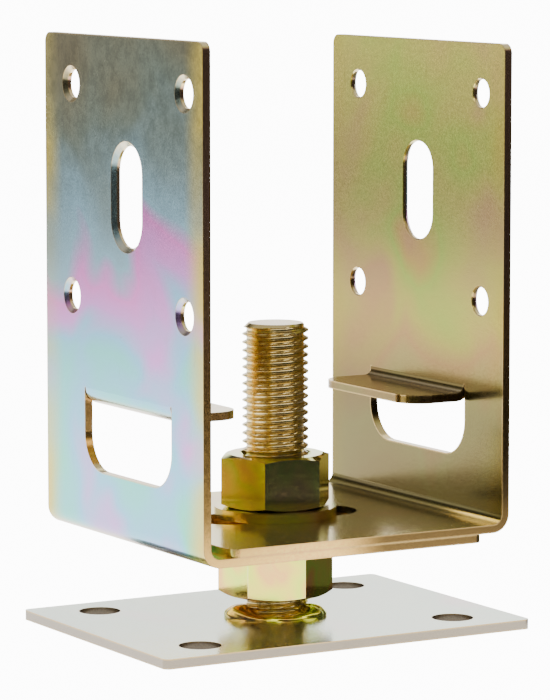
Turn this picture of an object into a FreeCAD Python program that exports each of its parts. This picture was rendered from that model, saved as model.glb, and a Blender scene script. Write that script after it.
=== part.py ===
import FreeCAD, Part
import math
import os

# Adjustable timber post base: two folded brackets clamped on a threaded rod
# that is welded to a base plate. Sizes are in millimetres.
# Origin: centre of the base plate's underside, on the rod's axis.
# X runs across the bracket (left wall at -X), Y into its depth, Z up.

# ---- named clearances ----
RUNNING_CLEARANCE = 0.05      # radial, nut on rod
WASHER_CLEARANCE = 0.5        # radial, washer on rod
SLOT_CLEARANCE = 0.5          # each side, rod in the flange slots
TAB_SIDE_GAP = 0.5            # each side, folded tab in its window

# ---- base plate ----
PLATE_LENGTH = 125.0
PLATE_DEPTH = 91.0
PLATE_THICKNESS = 3.0
PLATE_CORNER_RADIUS = 2.0
ANCHOR_HOLE_DIAMETER = 12.5
ANCHOR_SPACING_X = 87.0
ANCHOR_SPACING_Y = 63.0

# ---- threaded rod and its weld ----
ROD_DIAMETER = 20.0
ROD_TOP = 92.0
ROD_END_CHAMFER = 1.8
WELD_REACH = 6.4
WELD_HEIGHT = 4.0
WELD_BULGE = 0.9

# ---- nuts and washers ----
NUT_ACROSS_FLATS = 30.0
NUT_HEIGHT = 16.0
NUT_FACE_SHARE = 0.95         # end face diameter as a share of the across-flats size
NUT_CHAMFER_ANGLE = 20.0
NUT_MOUTH_CHAMFER = 1.0
LOWER_NUT_TURN = 31.5         # degrees from +X to a corner
UPPER_NUT_TURN = -10.4
WASHER_DIAMETER = 37.0
WASHER_THICKNESS = 3.0

# ---- folded brackets ----
SHEET = 2.5
BEND_INNER_RADIUS = 3.0
BRACKET_WIDTH = 104.0         # over the two walls' outer faces
BRACKET_DEPTH = 98.0
FLANGE_LENGTH = 95.0
LEFT_HEIGHT = 150.0
RIGHT_HEIGHT = 145.0
WALL_CORNER_RADIUS = 3.0
FLANGE_CORNER_RADIUS = 3.0
FLANGE_UNDERSIDE = 28.5       # lower flange, above the plate's underside

SCREW_HOLE_DIAMETER = 8.5
SCREW_ROW_BELOW_TOP = 15.0
LEFT_ROW_PITCH = 63.5
RIGHT_ROW_PITCH = 62.0
SCREW_COLUMN_PITCH = 70.0
LEFT_PATTERN_SHIFT = -3.0     # holes, slot and window against the sheet's middle, along Y
RIGHT_PATTERN_SHIFT = -1.2
BOLT_SLOT_WIDTH = 16.5
BOLT_SLOT_LENGTH = 30.0
SCREW_RIM_BREAK = 1.2         # punched rims draw in on the wall's outer face
SLOT_RIM_BREAK = 1.4
INNER_RIM_BREAK = 0.3
ROD_SLOT_LENGTH = 54.0

WINDOW_WIDTH = 54.0
WINDOW_BOTTOM = 20.0          # above the bracket's own underside
WINDOW_CORNER_RADIUS = 11.0
TAB_INNER_RADIUS = 2.5
BEND_NEUTRAL_SHARE = 0.33     # neutral line of the bend, as a share of the sheet
TAB_CORNER_RADIUS = 8.0
SEAT_LEVEL = 70.5             # top of both tabs, above the plate's underside

# ---- derived levels ----
ROD_RADIUS = ROD_DIAMETER / 2
LEFT_UNDERSIDE = FLANGE_UNDERSIDE
RIGHT_UNDERSIDE = FLANGE_UNDERSIDE + SHEET
FLANGE_STACK_TOP = RIGHT_UNDERSIDE + SHEET
LOWER_WASHER_BOTTOM = FLANGE_UNDERSIDE - WASHER_THICKNESS
LOWER_NUT_BOTTOM = LOWER_WASHER_BOTTOM - NUT_HEIGHT
UPPER_WASHER_BOTTOM = FLANGE_STACK_TOP
UPPER_NUT_BOTTOM = UPPER_WASHER_BOTTOM + WASHER_THICKNESS

UP = FreeCAD.Vector(0, 0, 1)
ACROSS = FreeCAD.Vector(1, 0, 0)
DEEP = FreeCAD.Vector(0, 1, 0)


def point(x, y, z):
    return FreeCAD.Vector(x, y, z)


def solid_of(shape):
    """Return the one solid of a boolean result, with its split faces joined."""
    return shape.removeSplitter().Solids[0]


def rounded_block(length, depth, height, corner_radius):
    """Upright block centred on Z, standing on z = 0, with round upright corners."""
    block = Part.makeBox(length, depth, height, point(-length / 2, -depth / 2, 0))
    upright = [edge for edge in block.Edges if abs(edge.tangentAt(edge.FirstParameter).z) > 0.9]
    return block.makeFillet(corner_radius, upright)


def upright_slot(length, width, height):
    """Slot-shaped block along X, centred on Z and standing on z = 0."""
    radius = width / 2
    centre = length / 2 - radius
    middle = Part.makeBox(2 * centre, width, height, point(-centre, -radius, 0))
    left_end = Part.makeCylinder(radius, height, point(-centre, 0, 0), UP)
    right_end = Part.makeCylinder(radius, height, point(centre, 0, 0), UP)
    return middle.fuse([left_end, right_end]).removeSplitter()


def ring(outer_diameter, bore_diameter, thickness):
    """Flat washer standing on z = 0."""
    disc = Part.makeCylinder(outer_diameter / 2, thickness)
    bore = Part.makeCylinder(bore_diameter / 2, thickness + 2, point(0, 0, -1), UP)
    return disc.cut(bore)


# ------------------------------------------------------------------
# Base plate: flat, with round corners and four anchor holes.
# ------------------------------------------------------------------
def make_base_plate():
    plate = rounded_block(PLATE_LENGTH, PLATE_DEPTH, PLATE_THICKNESS, PLATE_CORNER_RADIUS)
    for side_x in (-1, 1):
        for side_y in (-1, 1):
            at = point(side_x * ANCHOR_SPACING_X / 2, side_y * ANCHOR_SPACING_Y / 2, -1)
            hole = Part.makeCylinder(ANCHOR_HOLE_DIAMETER / 2, PLATE_THICKNESS + 2, at, UP)
            plate = plate.cut(hole)
    return solid_of(plate)


# ------------------------------------------------------------------
# Rod: plain cylinder at the thread's outer diameter, chamfered at the top.
# ------------------------------------------------------------------
def make_threaded_rod():
    rod = Part.makeCylinder(ROD_RADIUS, ROD_TOP - PLATE_THICKNESS, point(0, 0, PLATE_THICKNESS), UP)
    top_edge = [
        edge for edge in rod.Edges
        if edge.Closed and edge.BoundBox.ZMin > ROD_TOP - 1
    ]
    return rod.makeChamfer(ROD_END_CHAMFER, top_edge)


# ------------------------------------------------------------------
# Weld: a fillet ring between the rod and the plate, fuller in the middle.
# ------------------------------------------------------------------
def make_weld_bead():
    foot = point(ROD_RADIUS, 0, PLATE_THICKNESS)
    toe = point(ROD_RADIUS + WELD_REACH, 0, PLATE_THICKNESS)
    crown = point(ROD_RADIUS, 0, PLATE_THICKNESS + WELD_HEIGHT)
    slope = math.hypot(WELD_REACH, WELD_HEIGHT)
    middle = point(
        (toe.x + crown.x) / 2 + WELD_BULGE * WELD_HEIGHT / slope,
        0,
        (toe.z + crown.z) / 2 + WELD_BULGE * WELD_REACH / slope,
    )
    section = Part.Face(Part.makePolygon([foot, toe, middle, crown, foot]))
    return section.revolve(point(0, 0, 0), UP, 360)


# ------------------------------------------------------------------
# Nut: six flats, shallow chamfers at both ends, countersunk bore.
# ------------------------------------------------------------------
def make_nut(turn):
    corner_radius = NUT_ACROSS_FLATS / math.sqrt(3)
    corners = []
    for index in range(7):
        angle = math.radians(turn + 60 * index)
        corners.append(point(corner_radius * math.cos(angle), corner_radius * math.sin(angle), 0))
    prism = Part.Face(Part.makePolygon(corners)).extrude(UP * NUT_HEIGHT)

    face_radius = NUT_FACE_SHARE * NUT_ACROSS_FLATS / 2
    drop = (corner_radius - face_radius) * math.tan(math.radians(NUT_CHAMFER_ANGLE))
    bore_radius = ROD_RADIUS + RUNNING_CLEARANCE
    mouth_radius = bore_radius + NUT_MOUTH_CHAMFER
    envelope = Part.Face(Part.makePolygon([
        point(bore_radius, 0, NUT_MOUTH_CHAMFER),
        point(mouth_radius, 0, 0),
        point(face_radius, 0, 0),
        point(corner_radius, 0, drop),
        point(corner_radius, 0, NUT_HEIGHT - drop),
        point(face_radius, 0, NUT_HEIGHT),
        point(mouth_radius, 0, NUT_HEIGHT),
        point(bore_radius, 0, NUT_HEIGHT - NUT_MOUTH_CHAMFER),
        point(bore_radius, 0, NUT_MOUTH_CHAMFER),
    ])).revolve(point(0, 0, 0), UP, 360)
    return solid_of(prism.common(envelope))


# ------------------------------------------------------------------
# Folded bracket. It is built as the left one, standing on its own
# underside at z = 0, with the wall's outer face at -X.
# ------------------------------------------------------------------
def folded_section(height):
    """L-shaped section of the sheet with a true bend, extruded over the depth."""
    outside = -BRACKET_WIDTH / 2
    inside = outside + SHEET
    free_end = outside + FLANGE_LENGTH
    outer_bend = BEND_INNER_RADIUS + SHEET
    centre_x = outside + outer_bend
    centre_z = outer_bend
    diagonal = math.sqrt(0.5)
    front = -BRACKET_DEPTH / 2

    def at(x, z):
        return point(x, front, z)

    outer_arc = Part.Arc(
        at(outside, centre_z),
        at(centre_x - outer_bend * diagonal, centre_z - outer_bend * diagonal),
        at(centre_x, 0),
    ).toShape()
    inner_arc = Part.Arc(
        at(centre_x, SHEET),
        at(centre_x - BEND_INNER_RADIUS * diagonal, centre_z - BEND_INNER_RADIUS * diagonal),
        at(inside, centre_z),
    ).toShape()
    section = Part.Wire([
        Part.makeLine(at(outside, height), at(outside, centre_z)),
        outer_arc,
        Part.makeLine(at(centre_x, 0), at(free_end, 0)),
        Part.makeLine(at(free_end, 0), at(free_end, SHEET)),
        Part.makeLine(at(free_end, SHEET), at(centre_x, SHEET)),
        inner_arc,
        Part.makeLine(at(inside, centre_z), at(inside, height)),
        Part.makeLine(at(inside, height), at(outside, height)),
    ])
    return Part.Face(section).extrude(DEEP * BRACKET_DEPTH)


def through_wall(profile_depth, bottom, top, corner_radius):
    """Block that passes through the wall along X, with all four corners round."""
    block = rounded_block(top - bottom, profile_depth, 4 * SHEET, corner_radius)
    block.rotate(point(0, 0, 0), DEEP, -90)
    block.translate(point(-BRACKET_WIDTH / 2 + 2.5 * SHEET, 0, (top + bottom) / 2))
    return block


def wall_hole(diameter, y, z):
    start = -BRACKET_WIDTH / 2 - SHEET
    return Part.makeCylinder(diameter / 2, 3 * SHEET, point(start, y, z), ACROSS)


def folded_tab(tab_top):
    """Tab cut from the window and folded inwards; unfolded, it fills the window's height."""
    outside = -BRACKET_WIDTH / 2
    inside = outside + SHEET
    outer_bend = TAB_INNER_RADIUS + SHEET
    bend_start = tab_top + TAB_INNER_RADIUS
    centre_x = inside + TAB_INNER_RADIUS
    bend_length = math.pi / 2 * (TAB_INNER_RADIUS + BEND_NEUTRAL_SHARE * SHEET)
    flat_length = bend_start - WINDOW_BOTTOM - bend_length
    free_end = centre_x + flat_length
    tab_width = WINDOW_WIDTH - 2 * TAB_SIDE_GAP
    front = -tab_width / 2
    diagonal = math.sqrt(0.5)

    def at(x, z):
        return point(x, front, z)

    outer_arc = Part.Arc(
        at(outside, bend_start),
        at(centre_x - outer_bend * diagonal, bend_start - outer_bend * diagonal),
        at(centre_x, tab_top - SHEET),
    ).toShape()
    inner_arc = Part.Arc(
        at(centre_x, tab_top),
        at(centre_x - TAB_INNER_RADIUS * diagonal, bend_start - TAB_INNER_RADIUS * diagonal),
        at(inside, bend_start),
    ).toShape()
    section = Part.Wire([
        outer_arc,
        Part.makeLine(at(centre_x, tab_top - SHEET), at(free_end, tab_top - SHEET)),
        Part.makeLine(at(free_end, tab_top - SHEET), at(free_end, tab_top)),
        Part.makeLine(at(free_end, tab_top), at(centre_x, tab_top)),
        inner_arc,
        Part.makeLine(at(inside, bend_start), at(outside, bend_start)),
    ])
    tab = Part.Face(section).extrude(DEEP * tab_width)
    free_corners = [
        edge for edge in tab.Edges
        if abs(edge.tangentAt(edge.FirstParameter).z) > 0.9
        and edge.BoundBox.XMin > free_end - 0.1
    ]
    return tab.makeFillet(TAB_CORNER_RADIUS, free_corners)


def punched_rim(radius, y, z, rim_break):
    """Cones that open a round hole's rims: wide on the outer face, slight on the inner one."""
    outside = -BRACKET_WIDTH / 2
    inside = outside + SHEET
    outer = Part.makeCone(radius + rim_break, radius, rim_break, point(outside, y, z), ACROSS)
    inner = Part.makeCone(
        radius,
        radius + INNER_RIM_BREAK,
        INNER_RIM_BREAK,
        point(inside - INNER_RIM_BREAK, y, z),
        ACROSS,
    )
    return [outer, inner]


def slot_rim(half_width, y, low, high, rim_break):
    """Wedges that open a slot's straight sides to match the cones at its two ends."""
    outside = -BRACKET_WIDTH / 2
    inside = outside + SHEET
    outer = Part.Face(Part.makePolygon([
        point(outside, y - half_width - rim_break, low),
        point(outside, y + half_width + rim_break, low),
        point(outside + rim_break, y + half_width, low),
        point(outside + rim_break, y - half_width, low),
        point(outside, y - half_width - rim_break, low),
    ])).extrude(UP * (high - low))
    inner = Part.Face(Part.makePolygon([
        point(inside, y - half_width - INNER_RIM_BREAK, low),
        point(inside, y + half_width + INNER_RIM_BREAK, low),
        point(inside - INNER_RIM_BREAK, y + half_width, low),
        point(inside - INNER_RIM_BREAK, y - half_width, low),
        point(inside, y - half_width - INNER_RIM_BREAK, low),
    ])).extrude(UP * (high - low))
    return [outer, inner]


def make_bracket(height, underside, row_pitch, shift):
    """Left-hand bracket: height over its own underside, and where its hole pattern stands."""
    bracket = folded_section(height)

    # round the wall's two top corners and the flange's two free corners
    top_corners = [
        edge for edge in bracket.Edges
        if abs(edge.tangentAt(edge.FirstParameter).x) > 0.9
        and edge.BoundBox.ZMin > height - 0.1
    ]
    bracket = bracket.makeFillet(WALL_CORNER_RADIUS, top_corners)
    free_end = -BRACKET_WIDTH / 2 + FLANGE_LENGTH
    flange_corners = [
        edge for edge in bracket.Edges
        if abs(edge.tangentAt(edge.FirstParameter).z) > 0.9
        and edge.BoundBox.XMin > free_end - 0.1
    ]
    bracket = bracket.makeFillet(FLANGE_CORNER_RADIUS, flange_corners)

    # four screw holes and the upright bolt slot midway between their rows
    upper_row = height - SCREW_ROW_BELOW_TOP
    lower_row = upper_row - row_pitch
    cutters = []
    for row in (upper_row, lower_row):
        for side in (-1, 1):
            across = shift + side * SCREW_COLUMN_PITCH / 2
            cutters.append(wall_hole(SCREW_HOLE_DIAMETER, across, row))
            cutters += punched_rim(SCREW_HOLE_DIAMETER / 2, across, row, SCREW_RIM_BREAK)
    slot_middle = (upper_row + lower_row) / 2
    slot_radius = BOLT_SLOT_WIDTH / 2
    slot_low = slot_middle - BOLT_SLOT_LENGTH / 2 + slot_radius
    slot_high = slot_middle + BOLT_SLOT_LENGTH / 2 - slot_radius
    for level in (slot_low, slot_high):
        cutters.append(wall_hole(BOLT_SLOT_WIDTH, shift, level))
        cutters += punched_rim(slot_radius, shift, level, SLOT_RIM_BREAK)
    cutters.append(Part.makeBox(
        3 * SHEET,
        BOLT_SLOT_WIDTH,
        slot_high - slot_low,
        point(-BRACKET_WIDTH / 2 - SHEET, shift - slot_radius, slot_low),
    ))
    cutters += slot_rim(slot_radius, shift, slot_low, slot_high, SLOT_RIM_BREAK)
    bracket = solid_of(bracket.cut(cutters))

    # rod slot in the flange
    rod_slot = upright_slot(ROD_SLOT_LENGTH, ROD_DIAMETER + 2 * SLOT_CLEARANCE, 3 * SHEET)
    rod_slot.translate(point(0, 0, -SHEET))
    bracket = bracket.cut(rod_slot)

    # window in the wall, closed again at its top by the folded tab
    tab_top = SEAT_LEVEL - underside
    window_top = tab_top + TAB_INNER_RADIUS
    opening = through_wall(
        WINDOW_WIDTH,
        WINDOW_BOTTOM,
        window_top + 2 * WINDOW_CORNER_RADIUS,
        WINDOW_CORNER_RADIUS,
    )
    limit = Part.makeBox(
        6 * SHEET,
        WINDOW_WIDTH,
        window_top,
        point(-BRACKET_WIDTH / 2 - 2 * SHEET, -WINDOW_WIDTH / 2, 0),
    )
    window = opening.common(limit)
    window.translate(point(0, shift, 0))
    tab = folded_tab(tab_top)
    tab.translate(point(0, shift, 0))
    bracket = bracket.cut(window).fuse(tab)
    bracket = solid_of(bracket)
    bracket.translate(point(0, 0, underside))
    return bracket


def mirrored(shape):
    return shape.mirror(point(0, 0, 0), ACROSS)


def standing_at(shape, level):
    shape.translate(point(0, 0, level))
    return shape


def build_all():
    washer_bore = ROD_DIAMETER + 2 * WASHER_CLEARANCE
    lower_washer = ring(WASHER_DIAMETER, washer_bore, WASHER_THICKNESS)
    upper_washer = ring(WASHER_DIAMETER, washer_bore, WASHER_THICKNESS)
    return {
        "base_plate": make_base_plate(),
        "threaded_rod": make_threaded_rod(),
        "weld_bead": make_weld_bead(),
        "lower_nut": standing_at(make_nut(LOWER_NUT_TURN), LOWER_NUT_BOTTOM),
        "lower_washer": standing_at(lower_washer, LOWER_WASHER_BOTTOM),
        "left_bracket": make_bracket(
            LEFT_HEIGHT, LEFT_UNDERSIDE, LEFT_ROW_PITCH, LEFT_PATTERN_SHIFT),
        "right_bracket": mirrored(make_bracket(
            RIGHT_HEIGHT, RIGHT_UNDERSIDE, RIGHT_ROW_PITCH, RIGHT_PATTERN_SHIFT)),
        "upper_washer": standing_at(upper_washer, UPPER_WASHER_BOTTOM),
        "upper_nut": standing_at(make_nut(UPPER_NUT_TURN), UPPER_NUT_BOTTOM),
    }


os.makedirs("parts", exist_ok=True)
for node, shape in build_all().items():
    box = shape.BoundBox
    print(node, len(shape.Solids), shape.isValid(), round(shape.Volume, 1),
          [round(value, 2) for value in (box.XMin, box.XMax, box.YMin, box.YMax, box.ZMin, box.ZMax)])
    shape.exportStep("parts/" + node + ".step")
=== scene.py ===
"""Looks for the adjustable timber post base.

Frame: metres, origin at the centre of the base plate's underside on the rod's
axis, X across the bracket, Y into its depth, Z up. The folded brackets, base
plate, nuts and washers are the CAD solids with procedural plating. The rod is
made again with its thread and the weld again with its ripples.
"""

import math

import bpy
import numpy as np
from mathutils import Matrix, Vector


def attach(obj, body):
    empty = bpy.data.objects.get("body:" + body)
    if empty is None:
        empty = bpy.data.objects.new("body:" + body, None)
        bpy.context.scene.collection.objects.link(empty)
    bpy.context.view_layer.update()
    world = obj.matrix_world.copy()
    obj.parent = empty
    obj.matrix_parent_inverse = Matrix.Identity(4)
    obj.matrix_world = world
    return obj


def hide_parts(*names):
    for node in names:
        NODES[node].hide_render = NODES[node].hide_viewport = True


MM = 0.001

# ---- sizes shared with the CAD ----
ROD_RADIUS = 10.0 * MM
ROD_BOTTOM = 3.0 * MM
ROD_TOP = 92.0 * MM
ROD_CHAMFER = 1.8 * MM
WELD_REACH = 6.4 * MM
WELD_HEIGHT = 4.0 * MM
PLATE_HALF = (62.5 * MM, 45.5 * MM)

# ---- the rod's thread ----
PITCH = 2.5 * MM
THREAD_DEPTH = 1.30 * MM
THREAD_CLEARANCE = 0.02 * MM
THREAD_CREST = 0.125                      # share of the pitch that stays at the crest
THREAD_FLANKS = 0.66                      # share of the pitch that both flanks take
THREAD_ROUNDING = 1.25
ROD_COLUMNS = 96
ROWS_PER_PITCH = 16
ROD_END_RINGS = (0.85, 0.5, 0.2)

# ---- the weld's lumps and ripples ----
WELD_LUMPS = ((168.0, 30.0, 1.0), (-38.0, 26.0, 0.9), (62.0, 30.0, 0.95))   # turn, width, size
WELD_FLOOR = 0.26
WELD_SWELL = 0.62
WELD_RIPPLES = 15
WELD_RIPPLE_SIZE = 0.07
WELD_RIPPLE_ON_FLOOR = 0.4
WELD_RIPPLE_WANDER = 0.20
WELD_RIPPLE_ROUNDING = 0.6
WELD_SECTION_POWER = 0.9
WELD_KNOB_SIZE = 0.06
WELD_REACH_SHARE = 0.98
WELD_CROWN = (0.8, 0.8, 1.0)
WELD_TIP_SHARE = 0.3
WELD_COLUMNS = 256
WELD_ROWS = 15

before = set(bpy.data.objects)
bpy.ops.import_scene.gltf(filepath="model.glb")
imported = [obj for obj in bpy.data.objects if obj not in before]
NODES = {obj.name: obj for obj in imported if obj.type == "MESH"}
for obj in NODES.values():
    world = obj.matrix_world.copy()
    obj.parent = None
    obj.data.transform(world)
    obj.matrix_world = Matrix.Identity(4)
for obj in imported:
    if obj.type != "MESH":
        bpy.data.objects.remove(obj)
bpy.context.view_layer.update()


# ------------------------------------------------------------------
# Node helpers
# ------------------------------------------------------------------
class Graph:
    """Small helper that adds nodes to a tree and wires them."""

    def __init__(self, tree):
        self.tree = tree
        self.count = 0

    def node(self, kind, inputs=None, **settings):
        """Add a node; inputs maps a socket name or index to a value or a socket."""
        made = self.tree.nodes.new(kind)
        made.location = (220 * (self.count % 8), -260 * (self.count // 8))
        self.count += 1
        for key, value in settings.items():
            setattr(made, key, value)
        for key, value in (inputs or {}).items():
            self.put(made.inputs[key], value)
        return made

    def put(self, socket, value):
        if isinstance(value, bpy.types.NodeSocket):
            self.tree.links.new(value, socket)
        else:
            socket.default_value = value

    def math(self, operation, a, b=0.0, clamp=False):
        made = self.node("ShaderNodeMath", {0: a, 1: b}, operation=operation, use_clamp=clamp)
        return made.outputs[0]

    def add(self, a, b):
        return self.math("ADD", a, b)

    def times(self, a, b):
        return self.math("MULTIPLY", a, b)

    def larger(self, a, b):
        return self.math("MAXIMUM", a, b)

    def absolute(self, value):
        return self.math("ABSOLUTE", value)

    def rest(self, share):
        """What a share leaves of 1."""
        return self.math("SUBTRACT", 1.0, share)

    def mix(self, share, a, b):
        """Value a where the share is 0 and b where it is 1."""
        return self.node("ShaderNodeMix", {0: share, 2: a, 3: b}, data_type="FLOAT").outputs[0]

    def fit(self, value, low, high, to_low=0.0, to_high=1.0, smooth=True):
        """Map low..high of a value to to_low..to_high, held at the ends."""
        kind = "SMOOTHSTEP" if smooth else "LINEAR"
        made = self.node(
            "ShaderNodeMapRange",
            {0: value, 1: low, 2: high, 3: to_low, 4: to_high},
            interpolation_type=kind,
        )
        return made.outputs[0]

    def split(self, vector):
        """The X, Y and Z of a vector."""
        return self.node("ShaderNodeSeparateXYZ", {0: vector}).outputs

    def join(self, x, y, z):
        return self.node("ShaderNodeCombineXYZ", {0: x, 1: y, 2: z}).outputs[0]

    def dot(self, a, b):
        made = self.node("ShaderNodeVectorMath", {0: a, 1: b}, operation="DOT_PRODUCT")
        return made.outputs["Value"]

    def ramp(self, value, stops):
        made = self.node("ShaderNodeValToRGB", {0: value})
        elements = made.color_ramp.elements
        while len(elements) < len(stops):
            elements.new(0.5)
        for element, (place, colour) in zip(elements, stops):
            element.position = place
            element.color = (*colour, 1.0)
        return made.outputs[0]

    def blend(self, share, a, b, how="MIX"):
        """Colour a where the share is 0 and b where it is 1; b may be a plain red, green, blue."""
        if isinstance(b, tuple):
            b = (*b, 1.0)
        made = self.node("ShaderNodeMix", {0: share, 6: a, 7: b}, data_type="RGBA", blend_type=how)
        return made.outputs[2]

    def gamma(self, colour, power):
        return self.node("ShaderNodeGamma", {"Color": colour, "Gamma": power}).outputs[0]

    def noise(self, vector, scale, detail=2.0, roughness=0.5, distortion=0.0):
        """Noise of the given scale in cells per metre."""
        made = self.node(
            "ShaderNodeTexNoise",
            {
                "Vector": vector,
                "Scale": scale,
                "Detail": detail,
                "Roughness": roughness,
                "Distortion": distortion,
            },
        )
        return made.outputs["Fac"]


def linear(red, green, blue):
    """Linear colour from 0-255 display values."""
    def one(value):
        share = value / 255.0
        return share / 12.92 if share <= 0.04045 else ((share + 0.055) / 1.055) ** 2.4
    return (one(red), one(green), one(blue))


def new_group(name, sockets_in, sockets_out):
    """Make a shader node group with named sockets and return it with its ends."""
    tree = bpy.data.node_groups.new(name, "ShaderNodeTree")
    for socket_name, kind, value in sockets_in:
        made = tree.interface.new_socket(socket_name, in_out="INPUT", socket_type=kind)
        if value is not None:
            made.default_value = value
    for socket_name, kind in sockets_out:
        tree.interface.new_socket(socket_name, in_out="OUTPUT", socket_type=kind)
    graph = Graph(tree)
    start = graph.node("NodeGroupInput")
    end = graph.node("NodeGroupOutput")
    return tree, graph, start.outputs, end.inputs


def new_material(name):
    """An empty material and the graph of its nodes."""
    material = bpy.data.materials.new(name)
    material.use_nodes = True
    material.node_tree.nodes.clear()
    return material, Graph(material.node_tree)


# ------------------------------------------------------------------
# Plating: a thin chromate film whose colour wanders with its thickness, with a painted highlight on the
# rims and, on some pieces, painted shade and light
# ------------------------------------------------------------------
# noise as (scale in cells per metre, detail, roughness), bands as (from, to)
STREAK_NOISE = (420.0, 3.0, 0.6)
STREAK_STRETCH = (1.0, 1.0, 0.16)
GRAIN_NOISE = (1500.0, 4.0, 0.65)
CELL_NOISE = (420.0, 3.0, 0.6)
GRAIN_DEPTH = 0.2 * MM
SPECK_NOISE = (700.0, 5.0, 0.7)
SPECK_BAND = (0.66, 0.74)
SPECK_SHARE = 0.30
SPECK_ROUGHNESS = 0.15
STREAK_BAND = (0.62, 0.80)
STREAK_SHARE = 0.16
DIRT = linear(92, 80, 52)
SHADE_BAND = (0.35, 0.7)
SHADE_SHARE = 0.25
SHADE_TINT = (0.72, 0.70, 0.64)
GRAIN_BAND = (0.3, 0.75)
EDGE_SAMPLES = 6
EDGE_BAND = (0.995, 0.90)                 # how well the rounded and the flat normal agree
COAT_ROUGHNESS = 0.25
FACING_BLEND = 0.35

# what a plated piece has unless its own settings say otherwise
PLATING = {
    "grain": 0.12,
    "edge": 0.9 * MM,
    # rim tint: partly the rims' own colour, partly a painted highlight
    "rim_colour_and_highlight": (0.56, 0.38, 0.14),
    "rim_tint_and_highlight_share": 0.8,
    "metallic": 0.92,
    "coat": 0.15,
}


def make_film_group():
    """Film colour from a thickness value in 0..1 and a warm/cool share.

    Cool faces run olive, steel blue, pink, lilac, sky blue, mint, green and
    straw as the film grows. Warm faces run tan, khaki, orange, yellow,
    yellow-green, amber, salmon, green and straw.
    """
    tree, g, start, end = new_group(
        "film_colour",
        [
            ("Thickness", "NodeSocketFloat", 0.5),
            ("Warm", "NodeSocketFloat", 0.0),
        ],
        [("Color", "NodeSocketColor")],
    )
    cool = g.ramp(start["Thickness"], [
        (0.00, (0.27, 0.24, 0.14)),
        (0.12, (0.30, 0.30, 0.20)),
        (0.26, (0.28, 0.34, 0.28)),
        (0.38, (0.34, 0.48, 0.50)),
        (0.49, (0.38, 0.62, 0.74)),
        (0.56, (0.95, 0.32, 0.80)),
        (0.64, (0.86, 0.40, 0.90)),
        (0.72, (0.32, 0.72, 0.95)),
        (0.81, (0.22, 0.90, 0.72)),
        (0.89, (0.40, 0.92, 0.36)),
        (1.00, (0.95, 0.76, 0.22)),
    ])
    warm = g.ramp(start["Thickness"], [
        (0.00, (0.74, 0.56, 0.25)),
        (0.16, (0.78, 0.67, 0.32)),
        (0.32, (0.88, 0.56, 0.30)),
        (0.46, (0.86, 0.76, 0.22)),
        (0.60, (0.72, 0.86, 0.18)),
        (0.72, (0.94, 0.68, 0.22)),
        (0.84, (0.95, 0.50, 0.36)),
        (0.92, (0.62, 0.88, 0.24)),
        (1.00, (0.95, 0.86, 0.34)),
    ])
    g.put(end["Color"], g.blend(start["Warm"], cool, warm))
    return tree


def make_wear_group():
    """Masks that every plated piece shares: cloudy patches, upright streaks, fine grain and a normal."""
    tree, g, start, end = new_group(
        "plated_wear",
        [
            ("Vector", "NodeSocketVector", None),
            ("Cloud Scale", "NodeSocketFloat", 28.0),
            ("Grain", "NodeSocketFloat", PLATING["grain"]),
        ],
        [
            ("Cloud", "NodeSocketFloat"),
            ("Streak", "NodeSocketFloat"),
            ("Grain Mask", "NodeSocketFloat"),
            ("Normal", "NodeSocketVector"),
        ],
    )
    place = start["Vector"]
    cloud = g.noise(place, start["Cloud Scale"], detail=2.0, roughness=0.45, distortion=0.4)
    stretched = g.node("ShaderNodeMapping", {"Vector": place, "Scale": STREAK_STRETCH}).outputs[0]
    grain = g.noise(place, *GRAIN_NOISE)
    height = g.add(g.times(grain, 0.5), g.times(g.noise(place, *CELL_NOISE), 0.5))
    bump = g.node(
        "ShaderNodeBump",
        {"Strength": start["Grain"], "Distance": GRAIN_DEPTH, "Height": height},
    )
    g.put(end["Cloud"], cloud)
    g.put(end["Streak"], g.noise(stretched, *STREAK_NOISE))
    g.put(end["Grain Mask"], grain)
    g.put(end["Normal"], bump.outputs[0])
    return tree


FILM = make_film_group()
WEAR = make_wear_group()


def rim_tint_and_highlight(g, face, colour, look):
    """Tints rims and edges, where the rounded normal turns away from the face's own: partly their own
    colour and partly a painted highlight on the rims.
    """
    rounded = g.node("ShaderNodeBevel", {"Radius": look["edge"]}, samples=EDGE_SAMPLES).outputs[0]
    edge = g.fit(g.dot(rounded, face), *EDGE_BAND)
    return g.blend(g.times(edge, look["rim_tint_and_highlight_share"]), colour, look["rim_colour_and_highlight"])


def handled_colour(g, wear, speck, colour):
    """Fine darker specks and streaks left by handling, and a soft cloudy shade."""
    streak = g.fit(wear["Streak"], *STREAK_BAND)
    dirt = g.larger(g.times(speck, SPECK_SHARE), g.times(streak, STREAK_SHARE))
    colour = g.blend(dirt, colour, DIRT)
    shaded = g.blend(1.0, colour, SHADE_TINT, "MULTIPLY")
    return g.blend(g.times(SHADE_SHARE, g.fit(wear["Cloud"], *SHADE_BAND)), colour, shaded)


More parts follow.
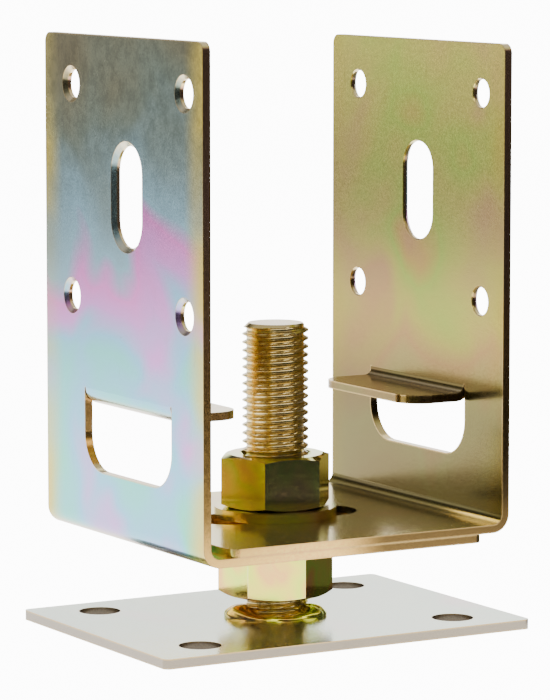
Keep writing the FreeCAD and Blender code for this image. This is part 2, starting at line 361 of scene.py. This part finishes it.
def plated_material(name, thickness, warm, settings):
    """A plated steel material.

    thickness and warm are functions of (graph, parts) that return a socket or
    a value, and parts holds the shared masks and the components of the
    position and the normal. settings say what differs from PLATING. A "wash"
    is one colour laid over the film by "wash_share", and the last setting is a
    function of (graph, parts, colour) that colours the piece's own places and,
    on the brackets and the lower nut, paints shade and light into the colour.
    """
    look = {**PLATING, **settings}
    material, g = new_material(name)
    place = g.node("ShaderNodeTexCoord").outputs["Object"]
    axes = g.split(place)
    face = g.node("ShaderNodeNewGeometry").outputs["Normal"]
    normal = g.split(face)
    wear = g.node(
        "ShaderNodeGroup",
        {"Vector": place, "Cloud Scale": look["cloud_scale"], "Grain": look["grain"]},
        node_tree=WEAR,
    ).outputs
    parts = {
        "place": place, "x": axes["X"], "y": axes["Y"], "z": axes["Z"],
        "nx": normal["X"], "ny": normal["Y"], "nz": normal["Z"],
        "cloud": wear["Cloud"],
        "facing": g.node("ShaderNodeLayerWeight", {"Blend": FACING_BLEND}).outputs["Facing"],
    }
    film = g.node(
        "ShaderNodeGroup",
        {"Thickness": thickness(g, parts), "Warm": warm(g, parts)},
        node_tree=FILM,
    )
    colour = film.outputs["Color"]
    if "wash" in look:
        colour = g.blend(look["wash_share"], colour, look["wash"])
    # the piece's own tints; on the brackets and the lower nut this also paints shade and light
    if "tints_and_painted_light" in look:
        colour = look["tints_and_painted_light"](g, parts, colour)
    colour = rim_tint_and_highlight(g, face, colour, look)
    speck = g.fit(g.noise(place, *SPECK_NOISE), *SPECK_BAND)
    colour = handled_colour(g, wear, speck, colour)

    roughness = g.fit(wear["Grain Mask"], *GRAIN_BAND, *look["rough"])
    roughness = g.math("ADD", roughness, g.times(speck, SPECK_ROUGHNESS), clamp=True)
    shader = g.node(
        "ShaderNodeBsdfPrincipled",
        {
            "Base Color": colour,
            "Metallic": look["metallic"],
            "Roughness": roughness,
            "Normal": wear["Normal"],
            "Coat Weight": look["coat"],
            "Coat Roughness": COAT_ROUGHNESS,
        },
    )
    output = g.node("ShaderNodeOutputMaterial")
    g.put(output.inputs["Surface"], shader.outputs[0])
    return material


def clouds(g, p, spread):
    """Cloudy patches either side of zero, up to half the spread each way."""
    return g.times(g.math("SUBTRACT", p["cloud"], 0.5), spread)


def clouded(level, spread):
    """Film thickness that wanders about one level."""
    def thickness(g, p):
        return g.math("ADD", level, clouds(g, p, spread), clamp=True)
    return thickness


def fixed(value):
    """The same share everywhere."""
    def share(g, p):
        return value
    return share


# ------------------------------------------------------------------
# The brackets' own places, with painted shade and light: bands of height, depth and slope as (from, to)
# ------------------------------------------------------------------
OUTWARD_SLOPE = (0.35, 0.75)
CUT_SLOPE = (0.80, 0.95)
LEVEL_SLOPE = (0.35, 0.80)
RIGHT_SIDE = (-10.0 * MM, 10.0 * MM)

# outer faces' film, thinnest at the top, where its dark olive is partly a painted dark reflection
OUTER_FILM_BAND = (178.0 * MM, 85.0 * MM)
OUTER_FILM_AND_PAINTED_DARK_TOP = (0.02, 0.74)
OUTER_CLOUDS = 0.72
INNER_FILM_BAND = (35.0 * MM, 110.0 * MM)
INNER_FILM = (0.12, 0.52)
INNER_CLOUDS = 1.05
FACING_FILM = 0.05

BORDER_BAND = (37.0 * MM, 49.0 * MM)
BORDER_CLOUD_BAND = (0.38, 0.60)
BORDER_SHARES = (0.25, 1.0)
BORDER_TINT = (0.92, 0.74, 0.16)
BRACKET_GAMMA = 1.2
CUT_SHARE = 0.8
CUT_TINT = (0.90, 0.50, 0.40)
# pale tint on the tabs' tops: partly their own colour, partly painted light
TAB_PAINTED_LIGHT_BAND = (60.0 * MM, 66.0 * MM)
TAB_PAINTED_LIGHT_SHARE = 0.8
TAB_TINT_AND_PAINTED_LIGHT = (1.00, 0.82, 0.50)
FLANGE_BAND = (45.0 * MM, 38.0 * MM)
FLANGE_SHARE = 0.5
FLANGE_TINT = (0.90, 0.76, 0.24)

# painted shade on the right wall's inner face, darker towards the fold in two steps
INNER_UPPER_SHADE_BAND = (178.0 * MM, 115.0 * MM)
INNER_UPPER_SHADE = 0.48
INNER_LOWER_SHADE_BAND = (100.0 * MM, 60.0 * MM)
INNER_LOWER_SHADE = 0.32
OUTER_TONE_BAND = (150.0 * MM, 80.0 * MM)
OUTER_TONE = 0.62
# painted dark reflection on the cut edges above the flange
CUT_REFLECTION_BAND = (36.0 * MM, 44.0 * MM)
CUT_DARK_REFLECTION = 0.60
MOTTLE_NOISE = (260.0, 4.0, 0.65)
MOTTLE_BAND = (0.35, 0.68)
MOTTLE_TONES = (1.08, 0.74)
MOTTLE_HEIGHT = (105.0 * MM, 160.0 * MM)
BLUE_LOSS_BAND = (130.0 * MM, 60.0 * MM)
BLUE_LEFT = 0.42


def outward_share(g, p):
    """1 on the walls' outer faces, 0 elsewhere: the normal and the place point the same way in X."""
    side = g.math("SIGN", p["x"])
    return g.fit(g.times(side, p["nx"]), *OUTWARD_SLOPE)


def bracket_warm(g, p):
    """Every face is warm but the walls' outer ones."""
    return g.rest(outward_share(g, p))


def bracket_thickness(g, p):
    """Outer faces: thin at the top, growing down the wall; the thin film's dark olive at the top is partly
    a painted dark reflection. Others: thin at the flange, growing upwards.
    """
    outer = g.add(
        g.fit(p["z"], *OUTER_FILM_BAND, *OUTER_FILM_AND_PAINTED_DARK_TOP, smooth=False), clouds(g, p, OUTER_CLOUDS)
    )
    inner = g.add(
        g.fit(p["z"], *INNER_FILM_BAND, *INNER_FILM, smooth=False), clouds(g, p, INNER_CLOUDS)
    )
    film = g.mix(outward_share(g, p), inner, outer)
    return g.math("ADD", film, g.times(p["facing"], FACING_FILM), clamp=True)


def bracket_tints_and_tab_light(g, p, colour, cut, level):
    """Straw borders down the walls' sides, rosy cut edges, and tints on the tabs and the flanges; the tabs'
    pale tint is partly their own colour and partly painted light.
    """
    border = g.fit(g.absolute(p["y"]), *BORDER_BAND)
    uneven = g.fit(p["cloud"], *BORDER_CLOUD_BAND, *BORDER_SHARES)
    colour = g.blend(g.times(border, uneven), colour, BORDER_TINT)
    colour = g.gamma(colour, BRACKET_GAMMA)
    colour = g.blend(g.times(cut, CUT_SHARE), colour, CUT_TINT)
    # partly painted light: the tabs' tops are tinted paler
    tab = g.times(level, g.fit(p["z"], *TAB_PAINTED_LIGHT_BAND))
    colour = g.blend(g.times(tab, TAB_PAINTED_LIGHT_SHARE), colour, TAB_TINT_AND_PAINTED_LIGHT)
    flange = g.times(level, g.fit(p["z"], *FLANGE_BAND))
    return g.blend(g.times(flange, FLANGE_SHARE), colour, FLANGE_TINT)


def right_wall_painted_shade(g, p):
    """Painted shade: the right wall's inner face darkens towards the fold, in two steps. The left one's
    doesn't.
    """
    upper = g.fit(p["z"], *INNER_UPPER_SHADE_BAND, 1.0, INNER_UPPER_SHADE)
    lower = g.fit(p["z"], *INNER_LOWER_SHADE_BAND, 1.0, INNER_LOWER_SHADE)
    return g.mix(g.fit(p["x"], *RIGHT_SIDE), 1.0, g.times(upper, lower))


def bracket_tones_and_painted_shade(g, p, cut, level):
    """Red, green and blue shares of the film's colour that each place keeps.

    The right wall's inner face takes painted shade, outer faces deepen downwards
    and are mottled near the top, cut edges above the flange take a painted dark
    reflection, and low on the warm walls blue fades.
    """
    outward = outward_share(g, p)
    # painted shade on the right wall's inner face; level faces are left out
    inner = g.mix(level, right_wall_painted_shade(g, p), 1.0)
    tone = g.mix(outward, inner, g.fit(p["z"], *OUTER_TONE_BAND, 1.0, OUTER_TONE))
    # painted dark reflection: cut edges above the flange are darkened
    dark_reflected_cut = g.times(cut, g.fit(p["z"], *CUT_REFLECTION_BAND))
    tone = g.times(tone, g.fit(dark_reflected_cut, 0.0, 1.0, 1.0, CUT_DARK_REFLECTION, smooth=False))
    mottle = g.fit(g.noise(p["place"], *MOTTLE_NOISE), *MOTTLE_BAND, *MOTTLE_TONES)
    mottled = g.times(g.fit(p["z"], *MOTTLE_HEIGHT), outward)
    tone = g.times(tone, g.mix(mottled, 1.0, mottle))
    warm_wall = g.times(g.rest(outward), g.rest(level))
    low = g.times(g.fit(p["z"], *BLUE_LOSS_BAND), warm_wall)
    blue = g.times(tone, g.fit(low, 0.0, 1.0, 1.0, BLUE_LEFT, smooth=False))
    return g.join(tone, tone, blue)


def bracket_tints_and_painted_light(g, p, colour):
    """The brackets' tints, then their tones, with painted light on the tabs, painted shade on the right
    wall's inner face and a painted dark reflection on the cut edges.
    """
    cut = g.fit(g.absolute(p["ny"]), *CUT_SLOPE)
    level = g.fit(g.absolute(p["nz"]), *LEVEL_SLOPE)
    colour = bracket_tints_and_tab_light(g, p, colour, cut, level)
    return g.blend(1.0, colour, bracket_tones_and_painted_shade(g, p, cut, level), "MULTIPLY")


# ------------------------------------------------------------------
# The nuts' and the plate's own places, with painted shade on the lower nut
# ------------------------------------------------------------------
# painted shade on the lower nut, below these heights
LOWER_NUT_SHADE_BAND = (31.0 * MM, 27.0 * MM)
LOWER_NUT_SHADE_GAMMA = 2.0
PLATE_SIDE_SLOPE = (0.70, 0.30)
PLATE_SIDE_SHARE = 0.9
PLATE_SIDE_TINT = (0.21, 0.16, 0.12)


def lower_nut_painted_shade(g, p, colour):
    """Painted shade: the lower nut's colour is made deeper and more saturated than the upper one's."""
    deepened = g.gamma(colour, LOWER_NUT_SHADE_GAMMA)
    return g.blend(g.fit(p["z"], *LOWER_NUT_SHADE_BAND), colour, deepened)


def plate_finish(g, p, colour):
    """Deep brown film round the plate's cut sides and in its holes."""
    side = g.fit(g.absolute(p["nz"]), *PLATE_SIDE_SLOPE)
    return g.blend(g.times(side, PLATE_SIDE_SHARE), colour, PLATE_SIDE_TINT)


MATERIALS = {
    "bracket_zinc": plated_material(
        "bracket_zinc", bracket_thickness, bracket_warm,
        {"cloud_scale": 24.0, "rough": (0.14, 0.26), "grain": 0.07, "tints_and_painted_light": bracket_tints_and_painted_light},
    ),
    "base_plate_zinc": plated_material(
        "base_plate_zinc", clouded(0.44, 0.5), fixed(0.25),
        {"cloud_scale": 24.0, "rough": (0.12, 0.24), "grain": 0.06,
         "wash": (0.60, 0.66, 0.50), "wash_share": 0.66, "tints_and_painted_light": plate_finish},
    ),
    "nut_zinc": plated_material(
        "nut_zinc", clouded(0.56, 1.5), fixed(1.0),
        {"cloud_scale": 62.0, "rough": (0.06, 0.12), "edge": 0.5 * MM, "grain": 0.05,
         "metallic": 1.0, "coat": 0.0, "rim_colour_and_highlight": (0.90, 0.76, 0.36),
         "wash": (0.78, 0.78, 0.44), "wash_share": 0.35, "tints_and_painted_light": lower_nut_painted_shade},
    ),
    "washer_zinc": plated_material(
        "washer_zinc", clouded(0.40, 1.1), fixed(1.0),
        {"cloud_scale": 60.0, "rough": (0.14, 0.24), "edge": 0.5 * MM, "grain": 0.05},
    ),
    "rod_zinc": plated_material(
        "rod_zinc", clouded(0.12, 0.4), fixed(1.0),
        {"cloud_scale": 70.0, "rough": (0.14, 0.24), "rim_tint_and_highlight_share": 0.0, "grain": 0.05,
         "wash": (0.62, 0.43, 0.16), "wash_share": 0.5},
    ),
    "weld_zinc": plated_material(
        "weld_zinc", clouded(0.46, 1.2), fixed(1.0),
        {"cloud_scale": 90.0, "rough": (0.16, 0.28), "rim_tint_and_highlight_share": 0.0},
    ),
}
NODE_SLOT = {
    "base_plate": "base_plate_zinc",
    "lower_nut": "nut_zinc",
    "lower_washer": "washer_zinc",
    "left_bracket": "bracket_zinc",
    "right_bracket": "bracket_zinc",
    "upper_washer": "washer_zinc",
    "upper_nut": "nut_zinc",
}
for node_name, slot_name in NODE_SLOT.items():
    for material_slot in NODES[node_name].material_slots:
        material_slot.material = MATERIALS[slot_name]


# ------------------------------------------------------------------
# Surfaces of revolution with a formula for the radius
# ------------------------------------------------------------------
def grid_mesh(name, points, material, sharp_degrees):
    """Closed skin from a grid of rows by columns.

    Columns wrap round, each pair of rows is joined by quads whose corners are
    (row, column), (row, next), (next row, next) and (next row, column), and the
    first and last rows each meet at one point.
    """
    rows, columns = points.shape[:2]
    vertices = np.vstack([points[0, :1], points[1:-1].reshape(-1, 3), points[-1, :1]])
    ring = np.arange(columns)
    after = np.roll(ring, -1)
    low = 1 + np.arange(rows - 3)[:, None] * columns
    quads = np.stack(
        [low + ring, low + after, low + columns + after, low + columns + ring], axis=-1
    ).reshape(-1, 4)
    top = 1 + (rows - 3) * columns
    first_fan = np.stack([0 * ring, 1 + after, 1 + ring], axis=-1)
    last_fan = np.stack([top + ring, top + after, 0 * ring + len(vertices) - 1], axis=-1)
    mesh = bpy.data.meshes.new(name)
    mesh.from_pydata(
        vertices.tolist(), [], first_fan.tolist() + quads.tolist() + last_fan.tolist()
    )
    mesh.polygons.foreach_set("use_smooth", np.ones(len(mesh.polygons), bool))
    mesh.set_sharp_from_angle(angle=math.radians(sharp_degrees))
    mesh.materials.append(material)
    made = bpy.data.objects.new(name, mesh)
    bpy.context.scene.collection.objects.link(made)
    return made


def on_axis(row, level):
    """The same row drawn in to the rod's axis, at a level."""
    point = row * 0.0
    point[..., 2] = level
    return point


def thread_radius(turn, height):
    """Radius of the threaded rod.

    The phase is height over pitch less the turn in full circles, so the ridge
    climbs anticlockwise. Within one pitch the radius is the crest radius, less
    the thread depth times a smooth tooth: a flat crest for an eighth of the
    pitch, flanks that follow a power of a quarter sine wave, and a flat root
    between them for about a fifth of it. near_crest is 1 at the crest and 0 in
    the middle of the root.
    """
    phase = np.mod(height / PITCH - turn / (2 * math.pi), 1.0)
    near_crest = np.abs(phase - 0.5) * 2.0
    drop = np.clip((1.0 - near_crest - THREAD_CREST) / THREAD_FLANKS, 0.0, 1.0)
    rounded = np.sin(drop * math.pi / 2) ** THREAD_ROUNDING
    return ROD_RADIUS - THREAD_CLEARANCE - THREAD_DEPTH * rounded


def make_rod():
    """Threaded rod: radius from thread_radius, cut down to a 45 degree chamfer at the top end."""
    levels = np.arange(ROD_BOTTOM, ROD_TOP, PITCH / ROWS_PER_PITCH)
    levels = np.append(levels, ROD_TOP)
    turn = np.linspace(0, 2 * math.pi, ROD_COLUMNS, endpoint=False)
    grid_turn, grid_level = np.meshgrid(turn, levels)
    radius = thread_radius(grid_turn, grid_level)
    chamfer_start = ROD_TOP - ROD_CHAMFER
    chamfer = ROD_RADIUS - (grid_level - chamfer_start)
    radius = np.minimum(radius, np.where(grid_level > chamfer_start, chamfer, ROD_RADIUS))
    body = np.stack([radius * np.cos(grid_turn), radius * np.sin(grid_turn), grid_level], axis=-1)
    end_rings = [body[-1] * (share, share, 1.0) for share in ROD_END_RINGS]
    foot = on_axis(body[0], ROD_BOTTOM)
    tip = on_axis(body[-1], ROD_TOP)
    points = np.vstack([foot[None], body, np.array(end_rings), tip[None]])
    return grid_mesh("rod_thread", points, MATERIALS["rod_zinc"], sharp_degrees=40.0)


def weld_size(turn):
    """Size of the weld bead at a turn.

    It is a floor value plus the largest of three bell curves in the turn,
    roughened by a ripple that follows a saw-like phase.
    """
    lump = np.zeros(len(turn))
    for centre, width, size in WELD_LUMPS:
        away = np.angle(np.exp(1j * (turn - math.radians(centre))))
        lump = np.maximum(lump, size * np.exp(-(away / math.radians(width)) ** 2))
    wander = WELD_RIPPLE_WANDER * np.sin(3 * turn)
    saw = np.mod(turn * WELD_RIPPLES / (2 * math.pi) + wander, 1.0)
    ripple = np.sin(math.pi * saw) ** WELD_RIPPLE_ROUNDING
    return (
        WELD_FLOOR
        + WELD_SWELL * lump
        + WELD_RIPPLE_SIZE * ripple * (WELD_RIPPLE_ON_FLOOR + lump)
    )


def make_weld():
    """Weld bead: a low fillet round the rod that swells into three tack lumps with ripples.

    The size at each turn comes from weld_size. The section is a quarter of a
    superellipse from the toe on the plate to the rod, with a few low knobs.
    """
    turn = np.linspace(0, 2 * math.pi, WELD_COLUMNS, endpoint=False)
    size = weld_size(turn)
    share = np.linspace(0, 1, WELD_ROWS)[:, None]
    reach = np.cos(share * math.pi / 2) ** WELD_SECTION_POWER
    climb = np.sin(share * math.pi / 2) ** WELD_SECTION_POWER
    knobs = 1.0 + WELD_KNOB_SIZE * np.sin(7 * turn + 5 * share) * np.sin(2 * math.pi * share)
    radius = ROD_RADIUS + WELD_REACH * reach * size * knobs * WELD_REACH_SHARE
    level = ROD_BOTTOM + WELD_HEIGHT * climb * size
    skin = np.stack([radius * np.cos(turn), radius * np.sin(turn), level + 0 * turn], axis=-1)
    crown = skin[-1:] * WELD_CROWN
    foot = on_axis(skin[:1], ROD_BOTTOM)
    tip = on_axis(crown, ROD_BOTTOM + WELD_HEIGHT * WELD_TIP_SHARE)
    points = np.concatenate([foot, skin, crown, tip])
    return grid_mesh("weld_ripples", points, MATERIALS["weld_zinc"], sharp_degrees=60.0)


rod = make_rod()
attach(rod, "base")
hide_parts("threaded_rod")

weld = make_weld()
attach(weld, "base")
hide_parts("weld_bead")


# ------------------------------------------------------------------
# Stage: floor, world and lights
# ------------------------------------------------------------------
# brightness of the table as the plating mirrors it, and as it is seen
TABLE_GLOW = 3.2
TABLE_BACK_TONE = 0.45
TABLE_FRONT_TONE = 0.02
TABLE_SIDE_TONE = 0.12
TABLE_UNDER_TONE = 0.90
TABLE_SEEN = 12.0

# where its brightness changes, in metres from the rod's axis
TABLE_HALF = 30.0
TABLE_NEAR = (0.13, 0.20)
TABLE_BACK = (0.35, 1.60)
TABLE_FRONT = (0.19, 0.36)
TABLE_AHEAD = (0.17, 0.24)
FRONT_START = (-0.05, -0.20)
SIDE_START = (0.064, 0.076)

# slants: X per step towards the front, and Y per step to the right
RIGHT_SLANT = (0.20, 0.34)
SIDE_SLANT = (1.00, 0.55)
SMALLEST_STEP = 0.01

# the paint itself, pale to look at and deeper where the mirrored table is dim
PAINT_NOISE = 3.0
PAINT_STOPS = [(0.3, (0.86, 0.86, 0.86)), (0.7, (0.90, 0.90, 0.90))]
PAINT_SHARES = (0.02, 0.8)

# the sky: level directions, how narrow each panel is and how high it reaches
SKY_STRENGTH = 2.6
SKY_COLOUR = (1.0, 1.0, 0.99, 1.0)
SKY_LEAST = 0.02
RIGHT_PANEL = {"towards": (0.60, 0.80, 0.0), "width": (0.70, 0.93), "height": (0.20, 0.42), "tone": 1.0}
LEFT_PANEL = {"towards": (-0.50, 0.86, 0.0), "width": (0.70, 0.95), "height": (0.15, 0.30), "tone": 0.60}
OVERHEAD_HEIGHT = (0.42, 0.80)
OVERHEAD_TONE = 0.26

LAMP_TARGET = (0, 0, 80.0 * MM)


def table_in_front(g, axes, away):
    """In front the table is cut off as by dark cards, further out at the right than ahead."""
    wide = g.fit(away, *TABLE_FRONT, TABLE_GLOW, TABLE_FRONT_TONE)
    ahead = g.fit(away, *TABLE_AHEAD, TABLE_GLOW, TABLE_FRONT_TONE)
    forward = g.larger(g.times(axes["Y"], -1.0), SMALLEST_STEP)
    to_right = g.fit(g.math("DIVIDE", axes["X"], forward), *RIGHT_SLANT)
    return g.mix(to_right, ahead, wide)


def mirrored_table(g, place):
    """How bright the plating sees each place on the table.

    It glows close to the part and falls off slowly behind it. In front and
    just beyond the plate's right edge it's dark, and under the plate it's dim.
    """
    axes = g.split(place)
    away = g.node("ShaderNodeVectorMath", {0: place}, operation="LENGTH").outputs["Value"]
    behind = g.fit(away, *TABLE_BACK, TABLE_GLOW, TABLE_BACK_TONE)
    tone = g.mix(g.fit(axes["Y"], *FRONT_START), behind, table_in_front(g, axes, away))
    tone = g.mix(g.fit(away, *TABLE_NEAR, 1.0, 0.0), tone, TABLE_GLOW)
    along = g.absolute(axes["Y"])
    slant = g.math("DIVIDE", along, g.larger(axes["X"], SMALLEST_STEP))
    beside = g.times(g.fit(axes["X"], *SIDE_START), g.fit(slant, *SIDE_SLANT))
    tone = g.mix(beside, tone, TABLE_SIDE_TONE)
    over_x = g.math("DIVIDE", g.absolute(axes["X"]), PLATE_HALF[0])
    over_y = g.math("DIVIDE", along, PLATE_HALF[1])
    covered = g.math("LESS_THAN", g.larger(over_x, over_y), 1.0)
    return g.mix(covered, tone, TABLE_UNDER_TONE)


def make_floor():
    """Large pale floor, lit from within like a light table."""
    mesh = bpy.data.meshes.new("floor")
    corners = [(-TABLE_HALF, -TABLE_HALF), (TABLE_HALF, -TABLE_HALF),
               (TABLE_HALF, TABLE_HALF), (-TABLE_HALF, TABLE_HALF)]
    mesh.from_pydata([(x, y, 0) for x, y in corners], [], [(0, 1, 2, 3)])
    floor = bpy.data.objects.new("floor", mesh)
    bpy.context.scene.collection.objects.link(floor)
    material, g = new_material("floor_paint")
    place = g.node("ShaderNodeTexCoord").outputs["Object"]
    mirrored = mirrored_table(g, place)
    seen = g.node("ShaderNodeLightPath").outputs["Is Camera Ray"]
    strength = g.mix(seen, mirrored, TABLE_SEEN)
    pale = g.ramp(g.noise(place, PAINT_NOISE, detail=3.0), PAINT_STOPS)
    kept = g.fit(mirrored, 0.0, TABLE_GLOW, *PAINT_SHARES, smooth=False)
    deep = g.blend(1.0, pale, g.join(kept, kept, kept), "MULTIPLY")
    shader = g.node(
        "ShaderNodeBsdfPrincipled",
        {
            "Base Color": g.blend(seen, deep, pale),
            "Roughness": 0.7,
            "Specular IOR Level": 0.0,
            "Emission Color": (1.0, 1.0, 1.0, 1.0),
            "Emission Strength": strength,
        },
    )
    output = g.node("ShaderNodeOutputMaterial")
    g.put(output.inputs["Surface"], shader.outputs[0])
    mesh.materials.append(material)


def sky_panel(g, place, up, panel):
    """A bright area round a level direction that fades out sideways and upwards."""
    facing = g.dot(place, panel["towards"])
    return g.times(g.fit(facing, *panel["width"]), g.fit(up, *panel["height"], panel["tone"], 0.0))


def make_world():
    """Dark studio: a wide bright panel low at the back right, softer ones at the back left and overhead."""
    world = bpy.data.worlds.new("studio")
    world.use_nodes = True
    bpy.context.scene.world = world
    world.node_tree.nodes.clear()
    g = Graph(world.node_tree)
    place = g.node("ShaderNodeTexCoord").outputs["Generated"]
    up = g.split(place)["Z"]
    low = g.larger(sky_panel(g, place, up, RIGHT_PANEL), sky_panel(g, place, up, LEFT_PANEL))
    overhead = g.fit(up, *OVERHEAD_HEIGHT, 0.0, OVERHEAD_TONE)
    tone = g.add(low, g.add(overhead, SKY_LEAST))
    background = g.node(
        "ShaderNodeBackground",
        {"Color": SKY_COLOUR, "Strength": g.times(tone, SKY_STRENGTH)},
    )
    output = g.node("ShaderNodeOutputWorld")
    g.put(output.inputs["Surface"], background.outputs[0])


def add_lamp(name, place, size, power, colour):
    """Rectangular lamp at a place, turned to face the middle of the part."""
    light = bpy.data.lights.new(name, "AREA")
    light.shape = "RECTANGLE"
    light.size, light.size_y = size
    light.energy = power
    light.color = colour
    made = bpy.data.objects.new(name, light)
    bpy.context.scene.collection.objects.link(made)
    made.location = place
    aim = Vector(LAMP_TARGET) - Vector(place)
    made.rotation_mode = "QUATERNION"
    made.rotation_quaternion = aim.to_track_quat("-Z", "Y")


make_floor()
make_world()
add_lamp("key", (-0.9, -0.7, 1.1), size=(0.7, 0.7), power=4.0, colour=(1.0, 0.98, 0.95))
add_lamp("rim", (0.8, 0.9, 0.7), size=(0.5, 0.8), power=2.0, colour=(1.0, 1.0, 1.0))


# ------------------------------------------------------------------
# Camera
# ------------------------------------------------------------------
CAMERA_PLACE = (-0.5777, -0.9956, 0.2188)
CAMERA_DOWN_DEGREES = 6.70
CAMERA_TURN_DEGREES = -30.12
CAMERA_LENS = 198.3
CAMERA_SENSOR = 36.0


def make_camera():
    """Long lens at the front left, a little above the part."""
    data = bpy.data.cameras.new("camera")
    data.lens = CAMERA_LENS
    data.sensor_width = CAMERA_SENSOR
    data.clip_start = 0.05
    data.clip_end = 50.0
    camera = bpy.data.objects.new("camera", data)
    bpy.context.scene.collection.objects.link(camera)
    camera.location = CAMERA_PLACE
    tilt = math.radians(90 - CAMERA_DOWN_DEGREES)
    camera.rotation_euler = (tilt, 0.0, math.radians(CAMERA_TURN_DEGREES))
    bpy.context.scene.camera = camera


make_camera()
